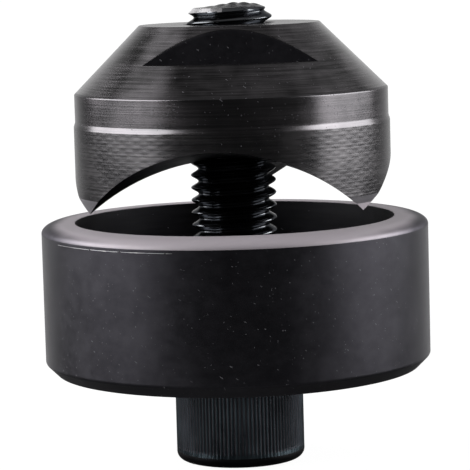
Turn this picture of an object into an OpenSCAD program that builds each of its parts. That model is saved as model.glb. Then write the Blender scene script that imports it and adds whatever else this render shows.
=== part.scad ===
// Screw-driven knockout punch: a die cup, a three-point punch and the screw that draws them together.
// Millimetres. The origin is the centre of the screw head's end face, and +Z runs up the screw.
// The punch stands just clear of the die, as it does before it is drawn through a sheet.

/* [Punch] */
// Diameter of the hole that the punch cuts
punch_d = 44; // [38:0.5:52]
// Height of the cutting band, from the points to the step above it
band_h = 12.1; // [10:0.1:16]
// How far the wall above the cutting band is relieved, on the radius
relief = 0.2; // [0.1:0.05:0.5]
// Height of the relieved wall, from the step to the shoulder
neck_h = 4.1; // [2:0.1:8]
// Height of the conical top above the shoulder
cone_h = 9; // [7:0.5:14]
// Diameter of the flat top
top_d = 25.6; // [20:0.2:30]
// Number of cutting points
points = 3; // [2:1:4]
// Turn of the first cutting point round the axis, in degrees from +X
point_turn = 84; // [0:1:119]
// Rise of each arch between two points, where it leaves the wall
arch_rise = 9; // [6:0.1:9.5]
// How much each arch narrows towards the axis, in degrees on each side
arch_taper = 7; // [0:0.5:10]
// Height of the bevel that leads each point into the sheet
lead_h = 2; // [0.5:0.1:3]
// Depth of that bevel on the radius
lead_w = 0.5; // [0.2:0.1:1]
// Edge broken at the shoulder and round the top
punch_edge = 0.25; // [0.1:0.05:0.5]
// Size across the two wrench flats
flats_w = 26; // [22:0.5:30]
// Height of the wrench flats, from the top down to their ledge
flats_h = 5; // [3.5:0.25:6.5]

/* [Die] */
// Thickness of the cup's wall
wall_t = 4.7; // [3.5:0.1:8]
// Height of the cup, from its base to its cutting edge
die_h = 21; // [18:0.5:30]
// Thickness of the cup's floor
floor_t = 6.5; // [4:0.5:8]
// Width of the flat land round the cutting edge
land_w = 0.8; // [0.4:0.1:1.5]
// How far the rim falls from the land to its outer edge
rim_fall = 1.1; // [0.2:0.1:1.5]
// Chamfer round the rim
rim_chamfer = 0.5; // [0.3:0.1:1.2]
// Chamfer round the base
base_chamfer = 1.6; // [0.5:0.1:2.5]
// Fillet where the bore meets the floor
floor_fillet = 1; // [0.5:0.1:2]

/* [Drive screw] */
// Diameter of the screw's thread
thread_d = 12; // [10:1:14]
// Length of the screw under its head
screw_l = 51; // [48:0.5:60]
// Chamfer on the screw's end
end_chamfer = 1; // [0.5:0.1:1.5]
// How far the screw's end is rounded up inside its chamfer
end_dome = 0.7; // [0.3:0.1:1]
// Diameter of the head
head_d = 18; // [17:0.5:24]
// Height of the head
head_h = 13; // [11:0.5:16]
// Rounding of the head's edge, at the end with the socket
head_round = 1.2; // [0.5:0.1:1.5]
// Size across the flats of the hexagon socket
socket_af = 10; // [6:0.5:10]
// Depth of the socket's flats
socket_depth = 6; // [4:0.25:7]

/* [Fits] */
// Gap between the punch and the die's bore, on the radius
die_gap = 0.3; // [0.15:0.05:0.5]
// Gap between the screw and the punch's tapped hole, on the radius
thread_gap = 0.05; // [0.03:0.01:0.1]
// Gap between the screw's shank and the hole in the die's floor, on the radius
shank_gap = 0.5; // [0.2:0.05:1]
// Height of the punch's points above the die's cutting edge
stand_off = 1.9; // [0.5:0.1:4]
// Countersink at the mouths of the tapped hole, the die's hole and the socket
countersink = 0.6; // [0.3:0.1:1]

/* [Hidden] */
$fn = 96;

// How far a cut runs past the face that it starts from
CUT_PAST = 1;
// The chamfer under the step is this much taller than it is deep
STEP_SLOPE = 3;
// Angle of the drill point at the bottom of the socket, from its rim
SOCKET_POINT = 30;

punch_r = punch_d / 2;
point_r = punch_r - lead_w;
neck_r = punch_r - relief;
top_r = top_d / 2;
tapped_r = thread_d / 2;
screw_r = tapped_r - thread_gap;
head_r = head_d / 2;
bore_r = punch_r + die_gap;
die_r = bore_r + wall_t;
hole_r = screw_r + shank_gap;

// Levels, from the head's end face up
base_z = head_h;
floor_z = base_z + floor_t;
edge_z = base_z + die_h;
rim_z = edge_z - rim_fall;
points_z = edge_z + stand_off;
step_z = points_z + band_h;
shoulder_z = step_z + neck_h;
top_z = shoulder_z + cone_h;
end_z = base_z + screw_l;

// Each arch is a cone's side, and its radius is taken where it stands on the chord between two points
half_chord = point_r * sin(180 / points);
chord_out = point_r * cos(180 / points);
widening = tan(arch_taper);
chord_rise = arch_rise - (punch_r - chord_out) * widening;
arch_r = (half_chord * half_chord + chord_rise * chord_rise) / (2 * chord_rise);

// Points of a round corner in a turned outline
function arc(centre, radius, from, to, steps = 8) =
    [for (i = [0:steps]) let (a = from + (to - from) * i / steps) centre + radius * [cos(a), sin(a)]];

// Solid turned from an outline of radius and height
module turned(outline) {
    rotate_extrude() polygon(outline);
}

// Cup with a bore that clears the punch, and a hole in its floor for the screw
module die() {
    color("dimgray")
    turned(concat(
        [
            [hole_r + countersink, base_z],
            [die_r - base_chamfer, base_z],
            [die_r, base_z + base_chamfer],
            [die_r, rim_z - rim_chamfer],
            [die_r - rim_chamfer, rim_z],
            [bore_r + land_w, edge_z],
            [bore_r, edge_z]
        ],
        arc([bore_r - floor_fillet, floor_z + floor_fillet], floor_fillet, 0, -90),
        [
            [hole_r + countersink, floor_z],
            [hole_r, floor_z - countersink],
            [hole_r, base_z + countersink]
        ]
    ));
}

// Turned body of the punch, before its arches and flats are cut
module punch_blank() {
    turned([
        [tapped_r, points_z],
        [point_r, points_z],
        [punch_r, points_z + lead_h],
        [punch_r, step_z - relief * STEP_SLOPE],
        [neck_r, step_z],
        [neck_r, shoulder_z - punch_edge],
        [neck_r - punch_edge, shoulder_z],
        [top_r, top_z - punch_edge],
        [top_r - punch_edge, top_z],
        [tapped_r + countersink, top_z],
        [tapped_r, top_z - countersink]
    ]);
}

// Arch between two cutting points: a round cut that widens from the axis out through the wall
module arch_cut(turn) {
    reach = punch_r + CUT_PAST;
    inner_r = arch_r - chord_out * widening;
    rotate(turn)
    translate([0, 0, points_z + chord_rise - arch_r])
    rotate([0, 90, 0])
    cylinder(r1 = inner_r, r2 = inner_r + reach * widening, h = reach, $fn = 180);
}

// Wrench flat on the cone's far side, with its ledge
module flat_cut() {
    translate([-punch_r, flats_w / 2, top_z - flats_h])
    cube([punch_d, punch_r, flats_h + CUT_PAST]);
}

// Cutter with a conical top, and points left between its arches
module punch() {
    color("darkslategray")
    difference() {
        punch_blank();
        for (i = [0:points - 1]) arch_cut(point_turn + (i + 0.5) * 360 / points);
        for (turn = [0, 180]) rotate(turn) flat_cut();
    }
}

// Hexagon socket, countersunk at its mouth and drilled to a point
module socket_cut() {
    flat_r = socket_af / 2;
    corner_r = flat_r / cos(30);
    mouth_r = corner_r + countersink;
    translate([0, 0, -CUT_PAST]) cylinder(r = corner_r, h = socket_depth + CUT_PAST, $fn = 6);
    translate([0, 0, socket_depth]) cylinder(r1 = flat_r, r2 = 0, h = flat_r * tan(SOCKET_POINT));
    translate([0, 0, -CUT_PAST])
    cylinder(r1 = mouth_r + CUT_PAST, r2 = flat_r, h = mouth_r + CUT_PAST - flat_r);
}

// Socket head cap screw, standing on its head; its thread is drawn at the diameter of its crests
module drive_screw() {
    end_r = screw_r - end_chamfer;
    dome_r = (end_r * end_r + end_dome * end_dome) / (2 * end_dome);
    chamfer_z = end_z - end_dome;
    color("black")
    difference() {
        turned(concat(
            [[0, 0]],
            arc([head_r - head_round, head_round], head_round, -90, 0),
            [
                [head_r, base_z],
                [screw_r, base_z],
                [screw_r, chamfer_z - end_chamfer]
            ],
            arc([0, end_z - dome_r], dome_r, acos(end_r / dome_r), 90)
        ));
        socket_cut();
    }
}

die();
punch();
drive_screw();
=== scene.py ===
"""Screw-driven knockout punch: a die cup, a three-point punch and the cap screw that draws them together.

Sizes are in millimetres, and become metres where a mesh is made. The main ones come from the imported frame.
"""

import math

import bmesh
import bpy
import numpy as np
from mathutils import Matrix, Vector


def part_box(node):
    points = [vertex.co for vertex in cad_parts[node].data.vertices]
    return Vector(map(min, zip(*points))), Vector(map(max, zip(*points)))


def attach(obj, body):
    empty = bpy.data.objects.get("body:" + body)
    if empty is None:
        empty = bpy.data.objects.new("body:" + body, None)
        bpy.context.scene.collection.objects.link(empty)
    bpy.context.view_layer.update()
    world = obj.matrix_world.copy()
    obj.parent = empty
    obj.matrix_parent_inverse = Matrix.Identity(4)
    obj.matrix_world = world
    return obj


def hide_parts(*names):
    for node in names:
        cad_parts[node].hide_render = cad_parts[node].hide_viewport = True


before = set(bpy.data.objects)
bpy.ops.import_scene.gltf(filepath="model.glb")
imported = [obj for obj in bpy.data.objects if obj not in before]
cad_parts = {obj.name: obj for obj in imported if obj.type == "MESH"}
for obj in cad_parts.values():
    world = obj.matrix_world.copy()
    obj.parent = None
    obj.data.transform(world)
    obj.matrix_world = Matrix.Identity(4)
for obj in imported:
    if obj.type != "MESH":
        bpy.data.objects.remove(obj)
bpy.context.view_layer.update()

MM = 0.001
TURN = 2 * math.pi


def span(node):
    """Lowest and highest corner of a node, in millimetres."""
    return [[round(value / MM, 2) for value in corner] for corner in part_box(node)]


die_low, die_high = span("die")
punch_low, punch_high = span("punch")
screw_high = span("drive_screw")[1]

# Die
DIE_R = die_high[0]
BASE_Z = die_low[2]
EDGE_Z = die_high[2]
WALL_T = 4.7
FLOOR_T = 6.5
RIM_ROUND_W = 2.7
RIM_ROUND_H = 1.3
BASE_CHAMFER = 1.6
FLOOR_FILLET = 1.0
SHANK_HOLE_R = 6.45
COUNTERSINK = 0.6
BORE_R = DIE_R - WALL_T
FLOOR_Z = BASE_Z + FLOOR_T
RIM_Z = EDGE_Z - RIM_ROUND_H
DIE_COLUMNS = 288
RIM_ROWS = 17
# The wall keeps straight up to so far under the rim
RIM_HOLD = 0.1
# How far edges are broken: at the screw's hole, below and above the base's chamfer, and at the mouth
HOLE_EASE = 0.1
BASE_EASE = 0.15
WALL_EASE = 0.25
MOUTH_EASE = 0.08
# The rim carries a painted highlight, full up to the first radius and then fading out up to the second
# Towards -Y the painted highlight reaches further out by this share
RIM_HIGHLIGHT_R = 23.6
RIM_HIGHLIGHT_END_R = 25.6
RIM_HIGHLIGHT_WIDER = 0.125
RIM_HIGHLIGHT_RAGGED = 0.8
# Scratch along the wall with a painted glint, so far under the rim, and from one x to another on the -Y side
SCRATCH_UNDER = 0.4
SCRATCH_H = 0.06
SCRATCH_X = (-24.0, -8.0)

# Punch
PUNCH_R = punch_high[0]
POINTS_Z = punch_low[2]
TOP_Z = punch_high[2]
LEAD_H = 2.0
LEAD_W = 0.5
BAND_H = 12.1
STEP_H = 0.6
RELIEF = 0.2
NECK_H = 4.1
TOP_R = 12.8
PUNCH_EDGE = 0.25
ARCH_RISE = 9.0
ARCH_TAPER = math.radians(7)
POINTS = 3
POINT_TURN = math.radians(84)
FLATS_W = 26.0
FLATS_H = 5.0
FLAT_EDGE = 0.06
POINT_R = PUNCH_R - LEAD_W
NECK_R = PUNCH_R - RELIEF
STEP_Z = POINTS_Z + BAND_H
SHOULDER_Z = STEP_Z + NECK_H
LEDGE_Z = TOP_Z - FLATS_H
HALF_CHORD = POINT_R * math.sin(math.pi / POINTS)
CHORD_OUT = POINT_R * math.cos(math.pi / POINTS)
WIDENING = math.tan(ARCH_TAPER)
CHORD_RISE = ARCH_RISE - (PUNCH_R - CHORD_OUT) * WIDENING
ARCH_R = (HALF_CHORD**2 + CHORD_RISE**2) / (2 * CHORD_RISE)
ARCH_Z = POINTS_Z + CHORD_RISE - ARCH_R
CONE_LOW_R = NECK_R - PUNCH_EDGE
CONE_HIGH_Z = TOP_Z - PUNCH_EDGE
CONE_SLOPE = (CONE_LOW_R - TOP_R) / (CONE_HIGH_Z - SHOULDER_Z)
PUNCH_COLUMNS = 240
# Rows of the underside, the lead bevels, the ledge of the flats, and the flats and the cone beside them
UNDERSIDE_ROWS = 14
LEAD_ROWS = 5
LEDGE_ROWS = 6
FLAT_ROWS = 10
# The lower edge of the band is found in this many rounds
EDGE_ROUNDS = 20
# How far edges are broken: under and over the step, at the shoulder, and round the top
STEP_EASE = 0.12
NECK_EASE = 0.1
SHOULDER_EASE = 0.08
TOP_EASE = 0.06
# The eased wall starts so far under the step
STEP_HOLD = 1.0
# One point, on the +X side, carries a painted highlight up to this height
POINT_HIGHLIGHT_H = 1.1
# Faces that look down more than this are the arches', and not the lead bevels'
UNDERSIDE_FACING = -0.35
# Faces that look up or down less than this are the wall's, and those that look up so far are the cone's
WALL_FACING = 0.1
CONE_FACING = (0.5, 0.9)
# Faces that look so far towards -Y or +Y are the flats'
FLAT_FACING = 0.99

# Feed grooves that the lathe tool left round the cutting band
FEED = 0.5
FEED_DEPTH = 0.0025
FEED_ROWS = 6
# Chatter of that tool: marks in a turn, which are set off by half from one groove to the next
CHATTER = 56

# Cap screw
HEAD_R = screw_high[0]
END_Z = screw_high[2]
THREAD_R = 5.95
ROOT_R = 4.9
PITCH = 1.75
THREAD_LOW = 23.5
THREAD_RUN_OUT = 2.6
THREAD_ROWS = 16
END_CHAMFER = 1.0
END_DOME = 0.7
# The sheared end's dome leans over to +X, and its surface is uneven by this share of its height
END_LEAN = 0.9
END_UNEVEN = 0.3
# Waves of that surface along x and y: their steepness in a millimetre, and where they start
END_WAVE_X = (1.9, 0.6)
END_WAVE_Y = (2.3, -0.4)
END_ROWS = 18
# Its chamfer carries a painted highlight on the far side of this plane, where it looks up more than this
CHAMFER_HIGHLIGHT_X = -1.0
CHAMFER_HIGHLIGHT_FACING = 0.6
TAPPED_R = 6.0
SHANK_ROWS = 8
HEAD_ROUND = 1.2
HEAD_ROUND_ROWS = 9
HEAD_CHAMFER = 0.4
SOCKET_AF = 10.0
SOCKET_DEPTH = 6.0
SOCKET_POINT = math.radians(30)
SOCKET_ROWS = 6
RIDGES = 104
RIDGE_COLUMNS = 4
RIDGE_DEPTH = 0.11
KNURL_LOW = 1.4
KNURL_ROWS = 24
KNURL_RUN_OUT = 0.5
HEAD_COLUMNS = RIDGES * RIDGE_COLUMNS

# Vertices closer than this are one vertex
WELD = 0.001 * MM
SHARP_ANGLE = math.radians(35)
# An eased corner takes at most this share of the sides next to it, and its holding points this share more
EASE_SHARE = 0.4
HOLD_SHARE = 0.08
# Keeps a division from running into zero
TINY = 1e-6


# Small tools for meshes and nodes


def srgb(code):
    """Linear colour of an sRGB hex value."""
    channels = [int(code[i : i + 2], 16) / 255 for i in (1, 3, 5)]
    linear = [c / 12.92 if c <= 0.04045 else ((c + 0.055) / 1.055) ** 2.4 for c in channels]
    return (*linear, 1.0)


def add(tree, kind, inputs=None, **settings):
    """Adds a node with its settings. An input that is a socket is linked, and any other is set."""
    node = tree.nodes.new(kind)
    for name, value in settings.items():
        setattr(node, name, value)
    for key, value in (inputs or {}).items():
        if isinstance(value, bpy.types.NodeSocket):
            tree.links.new(value, node.inputs[key])
        else:
            node.inputs[key].default_value = value
    return node


def eased(outline, closed=False, steps=3, hold=0.05):
    """Outline of (radius, height, easing) points with round corners, and a holding point beside each."""
    count = len(outline)
    points = []
    for i, (r, z, ease) in enumerate(outline):
        corner = np.array([r, z])
        inner = closed or 0 < i < count - 1
        if not inner or ease == 0:
            points.append(corner)
            continue
        sides = []
        for other in (outline[i - 1], outline[(i + 1) % count]):
            along = np.array(other[:2]) - corner
            length = np.linalg.norm(along)
            cut = min(ease, EASE_SHARE * length)
            spare = min(hold, HOLD_SHARE * length)
            sides.append((corner + along / length * cut, corner + along / length * (cut + spare)))
        (start, hold_start), (end, hold_end) = sides
        points.append(hold_start)
        for t in np.linspace(0, 1, steps + 1):
            points.append((1 - t) ** 2 * start + 2 * t * (1 - t) * corner + t**2 * end)
        points.append(hold_end)
    return points


def rings(rows, turns):
    """Points in metres of rows of (radius, height) at each turn. Either may vary with the turn."""
    points = np.zeros((len(rows), len(turns), 3))
    for i, (r, z) in enumerate(rows):
        points[i, :, 0] = r * np.cos(turns)
        points[i, :, 1] = r * np.sin(turns)
        points[i, :, 2] = z
    return points * MM


def add_grid(bm, points, round_columns=True, round_rows=False):
    """Faces between neighbouring rows and columns of points."""
    row_count, column_count = points.shape[:2]
    verts = [[bm.verts.new(point) for point in row] for row in points]
    for i in range(row_count if round_rows else row_count - 1):
        low = verts[i]
        high = verts[(i + 1) % row_count]
        for j in range(column_count if round_columns else column_count - 1):
            k = (j + 1) % column_count
            bm.faces.new((low[j], low[k], high[k], high[j]))


def finished(bm, name, material):
    """Object of a closed mesh: doubles welded, faces outwards, smooth but for its sharp edges."""
    bmesh.ops.remove_doubles(bm, verts=bm.verts, dist=WELD)
    bmesh.ops.dissolve_degenerate(bm, edges=bm.edges, dist=WELD)
    bmesh.ops.recalc_face_normals(bm, faces=bm.faces)
    mesh = bpy.data.meshes.new(name)
    bm.to_mesh(mesh)
    bm.free()
    mesh.polygons.foreach_set("use_smooth", [True] * len(mesh.polygons))
    # Meshes from a node tree bring numbers of their own
    mesh.polygons.foreach_set("material_index", [0] * len(mesh.polygons))
    mesh.set_sharp_from_angle(angle=SHARP_ANGLE)
    mesh.materials.append(material)
    piece = bpy.data.objects.new(name, mesh)
    bpy.context.scene.collection.objects.link(piece)
    return piece


def refinish(piece, material, chosen):
    """Gives another finish to faces, chosen by their place in millimetres and the way they face."""
    mesh = piece.data
    mesh.materials.append(material)
    slot = len(mesh.materials) - 1
    for face in mesh.polygons:
        if chosen(face.center / MM, face.normal):
            face.material_index = slot


def node_mesh(tree, values):
    """Plain mesh that a geometry node tree makes from these values of its named inputs."""
    carrier = bpy.data.objects.new("carrier", bpy.data.meshes.new("carrier"))
    bpy.context.scene.collection.objects.link(carrier)
    modifier = carrier.modifiers.new("shape", "NODES")
    modifier.node_group = tree
    for item in tree.interface.items_tree:
        if item.in_out == "INPUT":
            modifier[item.identifier] = values[item.name]
    evaluated = carrier.evaluated_get(bpy.context.evaluated_depsgraph_get())
    mesh = bpy.data.meshes.new_from_object(evaluated)
    carrier.modifiers.remove(modifier)
    bpy.data.objects.remove(carrier)
    return mesh


# Finishes

# Width of the slow drifts in the oxide's colour and gloss
CLOUD = 5.0
CLOUD_DETAIL = 3.0
LINE_DETAIL = 2.0
LINE_ROUGHNESS = 0.6
# Noise lies about this value, and the sum of lines and clouds mostly between these two
NOISE_MIDDLE = 0.5
DRIFT = (0.75, 1.25)
# Dust lies in cells of this size, as specks up to this wide, and scratches are drawn out from such specks
DUST_CELL = 0.5
DUST_SIZE = 0.07
DUST_HEX = "#58575c"
DUST_ROUGHNESS = 0.8
SCRATCH_STRETCH = 10.0
SCRATCH_TURNS = ((0.5, 0.9, 0.4), (-0.8, 0.3, 1.2))
# The rim's painted highlight is dull and only partly metal
HIGHLIGHT_ROUGHNESS = 0.55
HIGHLIGHT_METALLIC = 0.2


def lathe_lines(tree, place, spacing, run):
    """Fine lines that a lathe leaves round the axis: noise drawn out along each turn."""
    scale = (1 / (run * MM), 1 / (run * MM), 1 / (spacing * MM))
    stretched = add(tree, "ShaderNodeMapping", {"Vector": place, "Scale": scale})
    settings = {
        "Vector": stretched.outputs[0],
        "Scale": 1.0,
        "Detail": LINE_DETAIL,
        "Roughness": LINE_ROUGHNESS,
    }
    return add(tree, "ShaderNodeTexNoise", settings).outputs[0]


def chatter_marks(tree, place):
    """Crossing rows of marks round the axis, from -1 to 1."""
    spot = add(tree, "ShaderNodeSeparateXYZ", {0: place}).outputs
    turn = add(tree, "ShaderNodeMath", {0: spot[1], 1: spot[0]}, operation="ARCTAN2").outputs[0]
    round_step = add(tree, "ShaderNodeMath", {0: turn, 1: CHATTER}, operation="MULTIPLY").outputs[0]
    climb = {0: spot[2], 1: math.pi / (FEED * MM)}
    rise_step = add(tree, "ShaderNodeMath", climb, operation="MULTIPLY").outputs[0]
    round_wave = add(tree, "ShaderNodeMath", {0: round_step}, operation="COSINE").outputs[0]
    rise_wave = add(tree, "ShaderNodeMath", {0: rise_step}, operation="COSINE").outputs[0]
    return add(tree, "ShaderNodeMath", {0: round_wave, 1: rise_wave}, operation="MULTIPLY").outputs[0]


def rim_highlight(tree, place, cloud):
    """Strength of the rim's painted highlight, from 0 to 1, with a ragged border."""
    spot = add(tree, "ShaderNodeSeparateXYZ", {0: place}).outputs
    flat = add(tree, "ShaderNodeCombineXYZ", {0: spot[0], 1: spot[1]}).outputs[0]
    radius = add(tree, "ShaderNodeVectorMath", {0: flat}, operation="LENGTH").outputs["Value"]
    front = add(tree, "ShaderNodeMath", {0: spot[1], 1: 0.0}, operation="MINIMUM").outputs[0]
    drawn_in = {0: front, 1: RIM_HIGHLIGHT_WIDER, 2: radius}
    wider = add(tree, "ShaderNodeMath", drawn_in, operation="MULTIPLY_ADD").outputs[0]
    stray = add(tree, "ShaderNodeMath", {0: cloud, 1: NOISE_MIDDLE}, operation="SUBTRACT").outputs[0]
    drawn = {0: stray, 1: RIM_HIGHLIGHT_RAGGED * MM, 2: wider}
    ragged = add(tree, "ShaderNodeMath", drawn, operation="MULTIPLY_ADD").outputs[0]
    fade = {
        "Value": ragged,
        "From Min": RIM_HIGHLIGHT_R * MM,
        "From Max": RIM_HIGHLIGHT_END_R * MM,
        "To Min": 1.0,
        "To Max": 0.0,
    }
    return add(tree, "ShaderNodeMapRange", fade, interpolation_type="SMOOTHSTEP").outputs[0]


def dust(tree, place, share):
    """Mask of small specks that lie in a share of the dust cells."""
    cells = add(tree, "ShaderNodeTexVoronoi", {"Vector": place, "Scale": 1 / (DUST_CELL * MM)})
    draw = add(tree, "ShaderNodeSeparateColor", {0: cells.outputs["Color"]})
    size = {0: draw.outputs[1], 1: DUST_SIZE / DUST_CELL}
    reach = add(tree, "ShaderNodeMath", size, operation="MULTIPLY")
    near = {0: cells.outputs["Distance"], 1: reach.outputs[0]}
    inside = add(tree, "ShaderNodeMath", near, operation="LESS_THAN")
    chosen = add(tree, "ShaderNodeMath", {0: draw.outputs[0], 1: share}, operation="LESS_THAN")
    both = {0: inside.outputs[0], 1: chosen.outputs[0]}
    return add(tree, "ShaderNodeMath", both, operation="MULTIPLY").outputs[0]


def black_oxide(
    name, dark, light, gloss, spacing, run, depth, dusty, metallic=1.0, edge=1.0, chatter=0.0, highlight_colour=None
):
    """Blackened steel: a dark metal whose colour and gloss drift, with lathe lines, dust and scratches on it.

    dark and light are its two colours and gloss the two ends of its roughness. spacing, run and depth are
    those of the lathe lines, in millimetres, and dusty is the share of cells that hold a speck or scratch.
    metallic is the share of metal in its shine, edge how much of that shine it keeps where it is seen at a
    slant, chatter the depth of the tool's chatter marks, and highlight_colour the pale colour of a painted
    highlight on the rim.
    """
    material = bpy.data.materials.new(name)
    material.use_nodes = True
    tree = material.node_tree
    tree.nodes.clear()
    place = add(tree, "ShaderNodeTexCoord").outputs["Object"]
    lines = lathe_lines(tree, place, spacing, run)
    drifts = {"Vector": place, "Scale": 1 / (CLOUD * MM), "Detail": CLOUD_DETAIL}
    cloud = add(tree, "ShaderNodeTexNoise", drifts).outputs[0]
    drift = add(tree, "ShaderNodeMath", {0: lines, 1: cloud}, operation="ADD")
    level = {"Value": drift.outputs[0], "From Min": DRIFT[0], "From Max": DRIFT[1]}
    share = add(tree, "ShaderNodeMapRange", level).outputs[0]
    specks = dust(tree, place, dusty)
    for turn in SCRATCH_TURNS:
        turned = add(tree, "ShaderNodeMapping", {"Vector": place, "Rotation": turn}).outputs[0]
        drawn_out = {"Vector": turned, "Scale": (1, 1, 1 / SCRATCH_STRETCH)}
        scratch_glint = add(tree, "ShaderNodeMapping", drawn_out).outputs[0]
        marks = {0: specks, 1: dust(tree, scratch_glint, dusty)}
        specks = add(tree, "ShaderNodeMath", marks, operation="MAXIMUM").outputs[0]
    tone = {0: share, 6: srgb(dark), 7: srgb(light)}
    oxide = add(tree, "ShaderNodeMix", tone, data_type="RGBA").outputs[2]
    dusted = {0: specks, 6: oxide, 7: srgb(DUST_HEX)}
    colour = add(tree, "ShaderNodeMix", dusted, data_type="RGBA").outputs[2]
    sheen = add(tree, "ShaderNodeMix", {0: share, 2: gloss[0], 3: gloss[1]}).outputs[0]
    roughness = add(tree, "ShaderNodeMix", {0: specks, 2: sheen, 3: DUST_ROUGHNESS}).outputs[0]
    metal = add(tree, "ShaderNodeMix", {0: specks, 2: metallic, 3: 0.0}).outputs[0]
    # Painted highlight: the rim is mixed towards a pale, dull colour, reaching furthest out towards -Y
    if highlight_colour:
        highlit = rim_highlight(tree, place, cloud)
        highlighted = {0: highlit, 6: colour, 7: srgb(highlight_colour)}
        colour = add(tree, "ShaderNodeMix", highlighted, data_type="RGBA").outputs[2]
        roughness = add(tree, "ShaderNodeMix", {0: highlit, 2: roughness, 3: HIGHLIGHT_ROUGHNESS}).outputs[0]
        metal = add(tree, "ShaderNodeMix", {0: highlit, 2: metal, 3: HIGHLIGHT_METALLIC}).outputs[0]
    relief = {"Strength": 1.0, "Distance": depth * MM, "Height": lines}
    if chatter:
        marks = {"Strength": 1.0, "Distance": chatter * MM, "Height": chatter_marks(tree, place)}
        relief["Normal"] = add(tree, "ShaderNodeBump", marks).outputs[0]
    normal = add(tree, "ShaderNodeBump", relief).outputs[0]
    surface = {
        "Base Color": colour,
        "Metallic": metal,
        "Roughness": roughness,
        "Normal": normal,
        "Specular Tint": (edge, edge, edge, 1),
    }
    shader = add(tree, "ShaderNodeBsdfPrincipled", surface)
    add(tree, "ShaderNodeOutputMaterial", {"Surface": shader.outputs[0]})
    return material


# Fine-turned tool steel, blackened and oiled: satin, so the softboxes fade out slowly round it
die_finish = black_oxide(
    "satin_black_oxide",
    dark="#3c3b40",
    light="#434247",
    gloss=(0.39, 0.44),
    spacing=1.2,
    run=1.6,
    depth=0.0005,
    dusty=0.5,
)
# Bores and undersides, rough from the tool under the oxide, and far darker than the rest as painted shade
rough_shaded_finish = black_oxide(
    "rough_black_oxide_painted_shade",
    dark="#18181a",
    light="#202022",
    gloss=(0.45, 0.55),
    spacing=0.6,
    run=6.0,
    depth=0.002,
    dusty=0.05,
)
# Rim of the cup: lighter than the cup and dull, with a painted highlight on it, so it is pale under any light
rim_highlight_finish = black_oxide(
    "black_oxide_painted_highlight",
    dark="#504e54",
    light="#5a585e",
    gloss=(0.39, 0.44),
    spacing=1.2,
    run=1.6,
    depth=0.0005,
    dusty=0.5,
    edge=0.5,
    highlight_colour="#a8a1a7",
)
# Lead bevels of the points, ground and then blackened
bevel_finish = black_oxide(
    "dull_blackened_steel",
    dark="#5a585c",
    light="#676569",
    gloss=(0.4, 0.5),
    spacing=0.25,
    run=40.0,
    depth=0.001,
    dusty=0.1,
    metallic=0.3,
)
# Turned tool steel under thin oxide: brighter and glossier than the cup
punch_finish = black_oxide(
    "turned_black_oxide",
    dark="#555456",
    light="#6b686b",
    gloss=(0.20, 0.27),
    spacing=0.22,
    run=16.0,
    depth=0.003,
    dusty=0.4,
    edge=0.7,
)
# Cutting band of the punch, where the tool chattered
band_finish = black_oxide(
    "chattered_black_oxide",
    dark="#525153",
    light="#686668",
    gloss=(0.23, 0.30),
    spacing=0.22,
    run=16.0,
    depth=0.003,
    dusty=0.4,
    edge=0.7,
    chatter=0.0026,
)
# Cone of the punch, where the lathe lines still show
cone_finish = black_oxide(
    "lined_black_oxide",
    dark="#3a393a",
    light="#706d70",
    gloss=(0.20, 0.28),
    spacing=0.19,
    run=10.0,
    depth=0.02,
    dusty=0.4,
)
# Forged screw head, blackened, with marks that the knurl drew along it
head_finish = black_oxide(
    "forged_black_oxide",
    dark="#30383d",
    light="#505b62",
    gloss=(0.26, 0.34),
    spacing=6.0,
    run=0.3,
    depth=0.03,
    dusty=0.2,
)
# Rolled thread, blackened and oiled
thread_finish = black_oxide(
    "rolled_black_oxide",
    dark="#626467",
    light="#74767a",
    gloss=(0.14, 0.20),
    spacing=0.4,
    run=6.0,
    depth=0.002,
    dusty=0.1,
    edge=0.3,
)
# Sheared end of the screw, uneven under the oxide
end_finish = black_oxide(
    "sheared_black_oxide",
    dark="#29292c",
    light="#5c5c60",
    gloss=(0.18, 0.30),
    spacing=0.5,
    run=0.9,
    depth=0.25,
    dusty=0.1,
    edge=0.6,
)
# One side of that end's chamfer, and a scratch along the cup's wall: near-white steel as a painted highlight
scratch_and_highlight_finish = black_oxide(
    "steel_scratch_and_painted_highlight",
    dark="#d8d6d9",
    light="#eceaed",
    gloss=(0.25, 0.35),
    spacing=0.5,
    run=1.0,
    depth=0.05,
    dusty=0.1,
)


# Die cup


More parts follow.
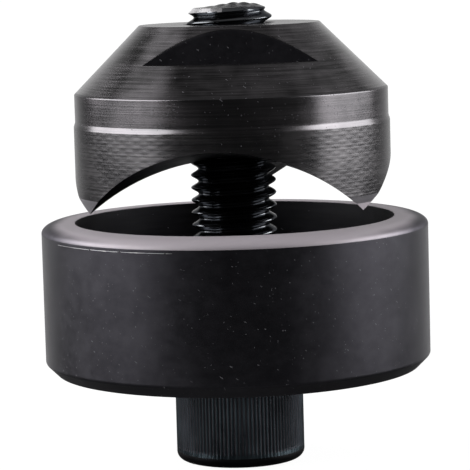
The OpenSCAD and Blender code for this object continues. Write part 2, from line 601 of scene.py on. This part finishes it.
def make_die():
    """Turned cup with a hole for the screw, a rim that rounds off outwards, and broken edges."""
    rim = []
    for a in np.linspace(math.pi / 2, 0, RIM_ROWS):
        rim.append((DIE_R - RIM_ROUND_W * (1 - math.sin(a)), RIM_Z + RIM_ROUND_H * math.cos(a), 0))
    scratch_high = RIM_Z - SCRATCH_UNDER
    scratch_low = scratch_high - SCRATCH_H
    outline = [
        (SHANK_HOLE_R + COUNTERSINK, BASE_Z, HOLE_EASE),
        (DIE_R - BASE_CHAMFER, BASE_Z, BASE_EASE),
        (DIE_R, BASE_Z + BASE_CHAMFER, WALL_EASE),
        (DIE_R, scratch_low, 0),
        (DIE_R, scratch_high, 0),
        (DIE_R, RIM_Z - RIM_HOLD, 0),
        *rim,
        (BORE_R, EDGE_Z, MOUTH_EASE),
        (BORE_R, FLOOR_Z, FLOOR_FILLET),
        (SHANK_HOLE_R + COUNTERSINK, FLOOR_Z, HOLE_EASE),
        (SHANK_HOLE_R, FLOOR_Z - COUNTERSINK, HOLE_EASE),
        (SHANK_HOLE_R, BASE_Z + COUNTERSINK, HOLE_EASE),
    ]
    turns = np.linspace(0, TURN, DIE_COLUMNS, endpoint=False)
    bm = bmesh.new()
    add_grid(bm, rings(eased(outline, closed=True, steps=5), turns), round_rows=True)
    cup = finished(bm, "die_cup", die_finish)
    # The rim gets a lighter finish with a painted highlight
    refinish(cup, rim_highlight_finish, lambda place, facing: place.z > RIM_Z)

    def scratch_glint(place, facing):
        along = place.y < 0 and SCRATCH_X[0] < place.x < SCRATCH_X[1]
        return along and scratch_low < place.z < scratch_high and place.xy.length > BORE_R

    # The scratch is drawn in near-white steel: a real mark whose glint is painted
    refinish(cup, scratch_and_highlight_finish, scratch_glint)
    # Inside of the cup: painted shade
    refinish(cup, rough_shaded_finish, lambda place, facing: place.xy.length <= BORE_R and place.z > FLOOR_Z)
    return cup


# Punch


def punch_turns():
    """Turns of the columns of the punch: even ones, and those where its flats end."""
    even = np.linspace(0, TURN, PUNCH_COLUMNS, endpoint=False)
    end = math.asin(FLATS_W / 2 / cone_r(LEDGE_Z))
    ends = [end, math.pi - end, math.pi + end, TURN - end]
    return np.unique(np.concatenate([even, ends]))


def cone_r(z):
    """Radius of the cone at a height."""
    return CONE_LOW_R - (z - SHOULDER_Z) * CONE_SLOPE


def arch_ceiling(r, turns):
    """Height of the underside: of the arch nearest to each turn, a cone that widens out from the axis."""
    pitch = TURN / POINTS
    aside = (turns - POINT_TURN) % pitch - pitch / 2
    arch_r = ARCH_R + (r * np.cos(aside) - CHORD_OUT) * WIDENING
    return ARCH_Z + np.sqrt(arch_r**2 - (r * np.sin(aside)) ** 2)


def band_r(z):
    """Radius of the cutting band at a height: the lead bevel of the points, then the grooved wall."""
    bevel = POINT_R + LEAD_W * (z - POINTS_Z) / LEAD_H
    above = np.clip((z - POINTS_Z - LEAD_H) / FEED, 0, 1)
    below = np.clip((STEP_Z - STEP_H - z) / FEED, 0, 1)
    groove = 0.5 - 0.5 * np.cos(TURN * z / FEED)
    wall = PUNCH_R - FEED_DEPTH * groove * above * below
    return np.where(z < POINTS_Z + LEAD_H, bevel, wall)


def thread_r(z, turns):
    """Radius of the screw's thread at a height and a turn, with round crests and roots."""
    aside = (z - THREAD_LOW) / PITCH - turns / TURN
    share = 2 * np.abs(aside - np.round(aside))
    return THREAD_R - (THREAD_R - ROOT_R) * share**2 * (3 - 2 * share)


def punch_bore(turns):
    """Points of the tapped hole. Its rows climb a pitch in a turn, and stop at the underside and the top."""
    gap = TAPPED_R - THREAD_R
    high = TOP_Z - COUNTERSINK
    low = arch_ceiling(TAPPED_R, turns)
    count = int((high - ARCH_Z - ARCH_R) / PITCH + 4) * THREAD_ROWS
    first = ARCH_Z + ARCH_R - 2 * PITCH
    points = []
    for j in range(count):
        z = first + PITCH * (j / THREAD_ROWS + turns / TURN)
        fade = np.clip((high - z) / (PITCH / 2), 0, 1) * np.clip((z - low) / (PITCH / 2), 0, 1)
        z = np.clip(z, low, high)
        r = TAPPED_R - (TAPPED_R - thread_r(z, turns) - gap) * fade
        points.append(rings([(r, z)], turns)[0])
    return np.array(points)


def make_punch():
    """Cutter: three arches that leave three points, a grooved band, a neck, and a cone with two flats."""
    turns = punch_turns()
    edge_z = np.full(len(turns), POINTS_Z)
    for _ in range(EDGE_ROUNDS):
        edge_r = band_r(edge_z)
        edge_z = np.maximum(arch_ceiling(edge_r, turns), POINTS_Z)
    rows = []
    for t in np.linspace(0, 1, UNDERSIDE_ROWS):
        r = TAPPED_R + (edge_r - TAPPED_R) * t
        rows.append((r, np.maximum(arch_ceiling(r, turns), POINTS_Z)))
    band_top = STEP_Z - STEP_H
    lead_top = POINTS_Z + LEAD_H
    levels = list(np.linspace(POINTS_Z, lead_top, LEAD_ROWS))
    levels += list(np.arange(lead_top, band_top, FEED / FEED_ROWS))
    for level in levels:
        z = np.maximum(level, edge_z)
        rows.append((band_r(z), z))
    wall = [
        (PUNCH_R, band_top - STEP_HOLD, 0),
        (PUNCH_R, band_top, STEP_EASE),
        (NECK_R, STEP_Z, NECK_EASE),
        (NECK_R, SHOULDER_Z - PUNCH_EDGE, SHOULDER_EASE),
        (CONE_LOW_R, SHOULDER_Z, SHOULDER_EASE),
        (cone_r(LEDGE_Z), LEDGE_Z, 0),
    ]
    rows += [(r, z) for r, z in eased(wall)[1:]]
    flat_r = np.minimum(FLATS_W / 2 / np.maximum(np.abs(np.sin(turns)), TINY), cone_r(LEDGE_Z))
    flat_top = np.clip(SHOULDER_Z + (CONE_LOW_R - flat_r) / CONE_SLOPE, LEDGE_Z, CONE_HIGH_Z)
    edge = np.minimum(FLAT_EDGE, (flat_top - LEDGE_Z) / 2)
    for t in np.linspace(0, 1, LEDGE_ROWS)[1:]:
        rows.append((cone_r(LEDGE_Z) + (flat_r - cone_r(LEDGE_Z)) * t, LEDGE_Z))
    for t in np.linspace(0, 1, FLAT_ROWS)[1:]:
        rows.append((flat_r, LEDGE_Z + (flat_top - edge - LEDGE_Z) * t))
    for t in np.linspace(0, 1, FLAT_ROWS):
        z = flat_top + edge + (CONE_HIGH_Z - flat_top - edge) * t
        rows.append((cone_r(z), z))
    top = [
        (TOP_R, CONE_HIGH_Z, 0),
        (TOP_R - PUNCH_EDGE, TOP_Z, TOP_EASE),
        (TAPPED_R + COUNTERSINK, TOP_Z, TOP_EASE),
        (TAPPED_R, TOP_Z - COUNTERSINK, 0),
    ]
    rows += [(r, z) for r, z in eased(top)[1:]]
    bm = bmesh.new()
    add_grid(bm, rings(rows, turns))
    round_turns = np.append(turns, TURN)
    add_grid(bm, punch_bore(round_turns), round_columns=False)
    cutter = finished(bm, "punch_cutter", punch_finish)

    def on_cone(place, facing):
        return place.z > SHOULDER_Z and CONE_FACING[0] < facing.z < CONE_FACING[1]

    def on_underside(place, facing):
        return place.z < STEP_Z and facing.z < UNDERSIDE_FACING

    def on_bevel(place, facing):
        return place.z < lead_top and facing.z > UNDERSIDE_FACING

    def point_highlight(place, facing):
        return place.z < POINTS_Z + POINT_HIGHLIGHT_H and facing.z > UNDERSIDE_FACING and place.x > POINT_R / 2

    refinish(cutter, band_finish, lambda place, facing: place.z < band_top and abs(facing.z) < WALL_FACING)
    refinish(cutter, cone_finish, on_cone)
    refinish(cutter, die_finish, lambda place, facing: place.z > LEDGE_Z and abs(facing.y) > FLAT_FACING)
    # Underside of the arches: painted shade
    refinish(cutter, rough_shaded_finish, on_underside)
    refinish(cutter, bevel_finish, on_bevel)
    # Painted highlight on the lead of the point on the +X side
    refinish(cutter, rim_highlight_finish, point_highlight)
    return cutter


# Cap screw


def new_tree(name, numbers, counts):
    """Empty geometry node tree with named inputs for its sizes, its counts and its material."""
    tree = bpy.data.node_groups.new(name, "GeometryNodeTree")
    for label in numbers:
        tree.interface.new_socket(label, in_out="INPUT", socket_type="NodeSocketFloat")
    for label in counts:
        tree.interface.new_socket(label, in_out="INPUT", socket_type="NodeSocketInt")
    tree.interface.new_socket("Finish", in_out="INPUT", socket_type="NodeSocketMaterial")
    tree.interface.new_socket("Mesh", in_out="OUTPUT", socket_type="NodeSocketGeometry")
    return tree


def wrap(tree, grid, radius, turn, height, finish):
    """Ends a tree: places a grid's points at that radius, turn and height, and closes its seam."""
    angle = add(tree, "ShaderNodeMath", {0: turn, 1: TURN}, operation="MULTIPLY").outputs[0]
    cosine = add(tree, "ShaderNodeMath", {0: angle}, operation="COSINE").outputs[0]
    sine = add(tree, "ShaderNodeMath", {0: angle}, operation="SINE").outputs[0]
    x = add(tree, "ShaderNodeMath", {0: radius, 1: cosine}, operation="MULTIPLY").outputs[0]
    y = add(tree, "ShaderNodeMath", {0: radius, 1: sine}, operation="MULTIPLY").outputs[0]
    place = add(tree, "ShaderNodeCombineXYZ", {0: x, 1: y, 2: height}).outputs[0]
    wrapped = add(tree, "GeometryNodeSetPosition", {"Geometry": grid, "Position": place}).outputs[0]
    closed = add(tree, "GeometryNodeMergeByDistance", {"Geometry": wrapped, "Distance": WELD}).outputs[0]
    plain = add(tree, "GeometryNodeRealizeInstances", {0: closed}).outputs[0]
    dressed = add(tree, "GeometryNodeSetMaterial", {"Geometry": plain, "Material": finish}).outputs[0]
    add(tree, "NodeGroupOutput", {0: dressed})


def rolled_thread():
    """Tree of a screw thread: a sheet whose rows climb a pitch in a turn, with a run-out and a chamfer."""
    sizes = ["Low", "High", "Pitch", "Crest radius", "Root radius", "Run-out", "End radius", "Chamfer"]
    tree = new_tree("rolled_thread", sizes, ["Columns", "Rows in a pitch"])
    given = add(tree, "NodeGroupInput").outputs
    length = add(tree, "ShaderNodeMath", {0: given["High"], 1: given["Low"]}, operation="SUBTRACT").outputs[0]
    pitches = add(tree, "ShaderNodeMath", {0: length, 1: given["Pitch"]}, operation="DIVIDE").outputs[0]
    # One spare pitch at each end, which the ends then cut off
    spare = add(tree, "ShaderNodeMath", {0: pitches, 1: 2.0}, operation="ADD").outputs[0]
    climbs = add(tree, "ShaderNodeMath", {0: spare}, operation="CEIL").outputs[0]
    row_total = {0: climbs, 1: given["Rows in a pitch"], 2: 1.0}
    row_count = add(tree, "ShaderNodeMath", row_total, operation="MULTIPLY_ADD").outputs[0]
    column_count = add(tree, "ShaderNodeMath", {0: given["Columns"], 1: 1.0}, operation="ADD").outputs[0]
    shape = {"Size X": 1.0, "Size Y": 1.0, "Vertices X": column_count, "Vertices Y": row_count}
    grid = add(tree, "GeometryNodeMeshGrid", shape).outputs[0]
    spot = add(tree, "ShaderNodeSeparateXYZ", {0: add(tree, "GeometryNodeInputPosition").outputs[0]}).outputs
    turn = add(tree, "ShaderNodeMath", {0: spot[0], 1: 0.5}, operation="ADD").outputs[0]
    along = add(tree, "ShaderNodeMath", {0: spot[1], 1: 0.5}, operation="ADD").outputs[0]
    row = add(tree, "ShaderNodeMath", {0: along, 1: climbs, 2: -1.0}, operation="MULTIPLY_ADD").outputs[0]
    climb = add(tree, "ShaderNodeMath", {0: row, 1: turn}, operation="ADD").outputs[0]
    level = {0: climb, 1: given["Pitch"], 2: given["Low"]}
    free = add(tree, "ShaderNodeMath", level, operation="MULTIPLY_ADD").outputs[0]
    height = add(tree, "ShaderNodeClamp", {0: free, 1: given["Low"], 2: given["High"]}).outputs[0]
    above = add(tree, "ShaderNodeMath", {0: height, 1: given["Low"]}, operation="SUBTRACT").outputs[0]
    risen = add(tree, "ShaderNodeMath", {0: above, 1: given["Pitch"]}, operation="DIVIDE").outputs[0]
    phase = add(tree, "ShaderNodeMath", {0: risen, 1: turn}, operation="SUBTRACT").outputs[0]
    # Half a pitch from one crest to the root, and back to the next crest
    aside = add(tree, "ShaderNodeMath", {0: phase, 1: 0.5}, operation="PINGPONG").outputs[0]
    flank = {
        "Value": aside,
        "From Max": 0.5,
        "To Min": given["Crest radius"],
        "To Max": given["Root radius"],
    }
    thread = add(tree, "ShaderNodeMapRange", flank, interpolation_type="SMOOTHSTEP").outputs[0]
    ramp = {
        "Value": above,
        "From Max": given["Run-out"],
        "To Min": given["Crest radius"],
        "To Max": given["Root radius"],
    }
    run_out = add(tree, "ShaderNodeMapRange", ramp).outputs[0]
    filled = add(tree, "ShaderNodeMath", {0: thread, 1: run_out}, operation="MAXIMUM").outputs[0]
    left = add(tree, "ShaderNodeMath", {0: given["High"], 1: height}, operation="SUBTRACT").outputs[0]
    slope = {
        "Value": left,
        "From Max": given["Chamfer"],
        "To Min": given["End radius"],
        "To Max": given["Crest radius"],
    }
    chamfer = add(tree, "ShaderNodeMapRange", slope).outputs[0]
    radius = add(tree, "ShaderNodeMath", {0: filled, 1: chamfer}, operation="MINIMUM").outputs[0]
    wrap(tree, grid, radius, turn, height, given["Finish"])
    return tree


def straight_knurl():
    """Tree of a straight knurl: ridges side by side round a cylinder, that fade out at both ends."""
    sizes = ["Low", "High", "Radius", "Depth", "Run-out"]
    tree = new_tree("straight_knurl", sizes, ["Ridges", "Columns in a ridge", "Rows"])
    given = add(tree, "NodeGroupInput").outputs
    column_total = {0: given["Ridges"], 1: given["Columns in a ridge"], 2: 1.0}
    column_count = add(tree, "ShaderNodeMath", column_total, operation="MULTIPLY_ADD").outputs[0]
    shape = {"Size X": 1.0, "Size Y": 1.0, "Vertices X": column_count, "Vertices Y": given["Rows"]}
    grid = add(tree, "GeometryNodeMeshGrid", shape).outputs[0]
    spot = add(tree, "ShaderNodeSeparateXYZ", {0: add(tree, "GeometryNodeInputPosition").outputs[0]}).outputs
    turn = add(tree, "ShaderNodeMath", {0: spot[0], 1: 0.5}, operation="ADD").outputs[0]
    rise = {
        "Value": spot[1],
        "From Min": -0.5,
        "From Max": 0.5,
        "To Min": given["Low"],
        "To Max": given["High"],
    }
    height = add(tree, "ShaderNodeMapRange", rise).outputs[0]
    above = add(tree, "ShaderNodeMath", {0: height, 1: given["Low"]}, operation="SUBTRACT").outputs[0]
    below = add(tree, "ShaderNodeMath", {0: given["High"], 1: height}, operation="SUBTRACT").outputs[0]
    nearer = add(tree, "ShaderNodeMath", {0: above, 1: below}, operation="MINIMUM").outputs[0]
    fade = add(tree, "ShaderNodeMapRange", {"Value": nearer, "From Max": given["Run-out"]}).outputs[0]
    count = add(tree, "ShaderNodeMath", {0: turn, 1: given["Ridges"]}, operation="MULTIPLY").outputs[0]
    # 0 on a ridge and 1 in a groove
    aside = add(tree, "ShaderNodeMath", {0: count, 1: 0.5}, operation="PINGPONG").outputs[0]
    groove = add(tree, "ShaderNodeMath", {0: aside, 1: 2.0}, operation="MULTIPLY").outputs[0]
    deep = add(tree, "ShaderNodeMath", {0: groove, 1: given["Depth"]}, operation="MULTIPLY").outputs[0]
    cut = add(tree, "ShaderNodeMath", {0: deep, 1: fade}, operation="MULTIPLY").outputs[0]
    radius = add(tree, "ShaderNodeMath", {0: given["Radius"], 1: cut}, operation="SUBTRACT").outputs[0]
    wrap(tree, grid, radius, turn, height, given["Finish"])
    return tree


def socket_rows(turns):
    """Rows of the hexagon socket, from its countersunk mouth to its drill point."""
    flat_r = SOCKET_AF / 2
    side = math.radians(60)
    hexagon = flat_r / np.cos(turns % side - side / 2)
    mouth_r = flat_r / math.cos(side / 2) + COUNTERSINK
    mouth_z = mouth_r - hexagon
    rows = [(mouth_r, 0), (hexagon, mouth_z)]
    shares = np.linspace(0, 1, SOCKET_ROWS)[1:]
    rows += [(hexagon, mouth_z + (SOCKET_DEPTH - mouth_z) * t) for t in shares]
    rows.append((flat_r, SOCKET_DEPTH))
    rows += [(flat_r * (1 - t), SOCKET_DEPTH + flat_r * t * math.tan(SOCKET_POINT)) for t in shares]
    return rows


def sheared_end(turns):
    """Rows of the screw's end: a low dome that leans over and is uneven, from its chamfer to its middle."""
    end_r = THREAD_R - END_CHAMFER
    radii = np.linspace(end_r, 0, END_ROWS)
    rises = []
    for r in radii:
        x = r * np.cos(turns)
        y = r * np.sin(turns)
        wave_x = np.sin(END_WAVE_X[0] * x + END_WAVE_X[1])
        wave_y = np.cos(END_WAVE_Y[0] * y + END_WAVE_Y[1])
        uneven = 1 + END_UNEVEN * wave_x * wave_y
        rises.append((1 - (r / end_r) ** 2) * (1 + END_LEAN * x / end_r) * uneven)
    highest = np.max(rises)
    return [(r, END_Z - END_DOME + END_DOME * rise / highest) for r, rise in zip(radii, rises)]


def make_screw():
    """Socket head cap screw: knurled head, plain shank, rolled thread and chamfered end."""
    bm = bmesh.new()
    thread = {
        "Low": THREAD_LOW * MM,
        "High": (END_Z - END_DOME) * MM,
        "Pitch": PITCH * MM,
        "Crest radius": THREAD_R * MM,
        "Root radius": ROOT_R * MM,
        "Run-out": THREAD_RUN_OUT * MM,
        "End radius": (THREAD_R - END_CHAMFER) * MM,
        "Chamfer": END_CHAMFER * MM,
        "Columns": RIDGES,
        "Rows in a pitch": THREAD_ROWS,
        "Finish": thread_finish,
    }
    bm.from_mesh(node_mesh(rolled_thread(), thread))
    knurl_high = BASE_Z - HEAD_CHAMFER
    knurl = {
        "Low": KNURL_LOW * MM,
        "High": knurl_high * MM,
        "Radius": HEAD_R * MM,
        "Depth": RIDGE_DEPTH * MM,
        "Run-out": KNURL_RUN_OUT * MM,
        "Ridges": RIDGES,
        "Columns in a ridge": RIDGE_COLUMNS,
        "Rows": KNURL_ROWS,
        "Finish": head_finish,
    }
    bm.from_mesh(node_mesh(straight_knurl(), knurl))
    few = np.linspace(0, TURN, RIDGES, endpoint=False)
    many = np.linspace(0, TURN, HEAD_COLUMNS, endpoint=False)
    shank = [(THREAD_R, z) for z in np.linspace(BASE_Z, THREAD_LOW, SHANK_ROWS)]
    add_grid(bm, rings(shank, few))
    add_grid(bm, rings(sheared_end(few), few))
    # Head below the knurl, its end face and the socket
    low = [(HEAD_R, KNURL_LOW)]
    for a in np.linspace(0, math.pi / 2, HEAD_ROUND_ROWS):
        low.append((HEAD_R - HEAD_ROUND * (1 - math.cos(a)), HEAD_ROUND * (1 - math.sin(a))))
    add_grid(bm, rings(low + socket_rows(many), many))
    # Chamfer above the knurl, and the bearing face from the head's columns to the shank's
    bearing_r = HEAD_R - HEAD_CHAMFER
    add_grid(bm, rings([(HEAD_R, knurl_high), (bearing_r, BASE_Z)], many))
    inner = [bm.verts.new(point) for point in rings([(THREAD_R, BASE_Z)], few)[0]]
    outer = [bm.verts.new(point) for point in rings([(bearing_r, BASE_Z)], many)[0]]
    for i in range(RIDGES):
        first = i * RIDGE_COLUMNS
        rim = [outer[(first + k) % HEAD_COLUMNS] for k in range(RIDGE_COLUMNS + 1)]
        bm.faces.new([*rim, inner[(i + 1) % RIDGES], inner[i]])
    screw = finished(bm, "cap_screw", head_finish)
    chamfer_low = END_Z - END_DOME - END_CHAMFER
    chamfer_high = END_Z - END_DOME
    groove_r = HEAD_R - RIDGE_DEPTH / 2

    def shaded_groove(place, facing):
        return KNURL_LOW < place.z < knurl_high and place.xy.length < groove_r

    def chamfer_highlight(place, facing):
        return chamfer_low < place.z < chamfer_high and facing.z > CHAMFER_HIGHLIGHT_FACING and place.x < CHAMFER_HIGHLIGHT_X

    # Foot of the head below the knurl: painted shade
    refinish(screw, rough_shaded_finish, lambda place, facing: place.z < KNURL_LOW)
    # Groove faces of the knurl take the cup's darker, duller finish: painted shade in the grooves
    refinish(screw, die_finish, shaded_groove)
    refinish(screw, thread_finish, lambda place, facing: place.z > BASE_Z)
    refinish(screw, end_finish, lambda place, facing: place.z > chamfer_high)
    # Painted highlight on the upward-facing -X side of the end's chamfer
    refinish(screw, scratch_and_highlight_finish, chamfer_highlight)
    return screw


pieces = [
    (make_die(), "die", "die", "die_steel"),
    (make_punch(), "punch", "punch", "punch_steel"),
    (make_screw(), "screw", "drive_screw", "screw_steel"),
]
for piece, body, node, slot in pieces:
    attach(piece, body)
    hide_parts(node)


# Floor, lights, world and camera, in metres

FLOOR_R = 0.06
FLOOR_CORNERS = 96
FLOOR_GLOW = 0.94
PAPER_HEX = "#626262"
# The paper glows for rays that are longer than this
FLOOR_NEAR = 0.05
# The white behind the part, as the metal sees it: where it starts and is full towards +Y, and its strength
SHEET_EDGE = 0.52
SHEET_FULL = 1.0
SHEET_GLOW = 0.8
STUDIO_DIM = 0.045
# The softboxes stand so far from the middle of the part
CENTRE = Vector((0, 0, 0.035))
SOFTBOX_AWAY = 0.6
CAMERA_PLACE = (0, -0.349, 0.07196)
CAMERA_PITCH = math.radians(6.61)
CAMERA_ROLL = math.radians(1.59)
CAMERA_NEAREST = 0.01
# Millimetres, as cameras have them
CAMERA_SENSOR = 36.0
CAMERA_LENS = 192.2


def white_sheet(name, glow):
    """Matt white paper that the camera and the metal see lit from behind, and that still takes a shadow.

    Metal close above it stands in its own shadow there, so it sees only the light that falls on the paper.
    """
    material = bpy.data.materials.new(name)
    material.use_nodes = True
    tree = material.node_tree
    tree.nodes.clear()
    ray = add(tree, "ShaderNodeLightPath").outputs
    direct = {0: ray["Is Camera Ray"], 1: ray["Is Glossy Ray"]}
    seen = add(tree, "ShaderNodeMath", direct, operation="MAXIMUM").outputs[0]
    through = {0: seen, 1: ray["Is Transmission Ray"]}
    shown = add(tree, "ShaderNodeMath", through, operation="MAXIMUM").outputs[0]
    length = {0: ray["Ray Length"], 1: FLOOR_NEAR}
    far = add(tree, "ShaderNodeMath", length, operation="GREATER_THAN").outputs[0]
    lit = add(tree, "ShaderNodeMath", {0: far, 1: glow}, operation="MULTIPLY").outputs[0]
    strength = add(tree, "ShaderNodeMath", {0: shown, 1: lit}, operation="MULTIPLY").outputs[0]
    paper = add(tree, "ShaderNodeBsdfDiffuse", {"Color": srgb(PAPER_HEX)}).outputs[0]
    light = add(tree, "ShaderNodeEmission", {"Strength": strength}).outputs[0]
    both = add(tree, "ShaderNodeAddShader", {0: paper, 1: light}).outputs[0]
    add(tree, "ShaderNodeOutputMaterial", {"Surface": both})
    return material


def flat_sheet(name, corners, material):
    """One flat face of the stage."""
    mesh = bpy.data.meshes.new(name)
    mesh.from_pydata(corners, [], [range(len(corners))])
    mesh.materials.append(material)
    sheet = bpy.data.objects.new(name, mesh)
    bpy.context.scene.collection.objects.link(sheet)


def softbox(name, aside, up, width, height, radiance):
    """Soft light aimed at the part, so far aside of the camera's direction and so far up, in degrees."""
    a = math.radians(aside)
    e = math.radians(up)
    away = Vector((math.sin(a) * math.cos(e), -math.cos(a) * math.cos(e), math.sin(e)))
    lamp = bpy.data.lights.new(name, "AREA")
    lamp.shape = "RECTANGLE"
    lamp.size = width
    lamp.size_y = height
    lamp.energy = radiance * math.pi * width * height
    box = bpy.data.objects.new(name, lamp)
    box.location = CENTRE + away * SOFTBOX_AWAY
    box.rotation_euler = away.to_track_quat("Z", "Y").to_euler()
    box.visible_camera = False
    bpy.context.scene.collection.objects.link(box)


floor_turns = np.linspace(0, TURN, FLOOR_CORNERS, endpoint=False)
floor_corners = [(FLOOR_R * math.cos(a), FLOOR_R * math.sin(a), 0) for a in floor_turns]
flat_sheet("floor", floor_corners, white_sheet("floor_paper", FLOOR_GLOW))
softbox("left_softbox", aside=-87, up=22, width=0.86, height=0.46, radiance=6.0)
softbox("right_softbox", aside=92, up=18, width=0.66, height=0.42, radiance=6.0)
softbox("left_fill", aside=-112, up=53, width=0.6, height=0.19, radiance=1.0)
softbox("right_fill", aside=106, up=52, width=0.6, height=0.26, radiance=0.35)
softbox("top_fill", aside=0, up=88, width=0.5, height=0.5, radiance=0.16)
softbox("front_fill", aside=64, up=26, width=0.24, height=0.24, radiance=1.0)

# White all round for the camera. The metal sees that white only behind the part, and elsewhere a dark studio
world = bpy.data.worlds.new("studio")
bpy.context.scene.world = world
world.use_nodes = True
tree = world.node_tree
tree.nodes.clear()
ray = add(tree, "ShaderNodeLightPath").outputs
reflected = {0: ray["Is Glossy Ray"], 1: ray["Is Transmission Ray"]}
in_metal = add(tree, "ShaderNodeMath", reflected, operation="MAXIMUM").outputs[0]
direction = add(tree, "ShaderNodeTexCoord").outputs["Generated"]
backwards = add(tree, "ShaderNodeSeparateXYZ", {0: direction}).outputs[1]
sheet = {"Value": backwards, "From Min": SHEET_EDGE, "From Max": SHEET_FULL, "To Max": SHEET_GLOW}
behind = add(tree, "ShaderNodeMapRange", sheet, interpolation_type="SMOOTHSTEP").outputs[0]
shown = {0: in_metal, 1: behind, 2: ray["Is Camera Ray"]}
strength = add(tree, "ShaderNodeMath", shown, operation="MULTIPLY_ADD").outputs[0]
lit = add(tree, "ShaderNodeMath", {0: strength, 1: STUDIO_DIM}, operation="ADD").outputs[0]
white = add(tree, "ShaderNodeBackground", {"Color": (1, 1, 1, 1), "Strength": lit}).outputs[0]
add(tree, "ShaderNodeOutputWorld", {"Surface": white})

camera = bpy.data.objects.new("camera", bpy.data.cameras.new("camera"))
camera.data.sensor_width = CAMERA_SENSOR
camera.data.lens = CAMERA_LENS
camera.data.clip_start = CAMERA_NEAREST
tilt = Matrix.Rotation(math.pi / 2 - CAMERA_PITCH, 4, "X")
camera.matrix_world = Matrix.Translation(CAMERA_PLACE) @ tilt @ Matrix.Rotation(-CAMERA_ROLL, 4, "Z")
bpy.context.scene.collection.objects.link(camera)
bpy.context.scene.camera = camera
bpy.context.scene.view_settings.view_transform = "Standard"
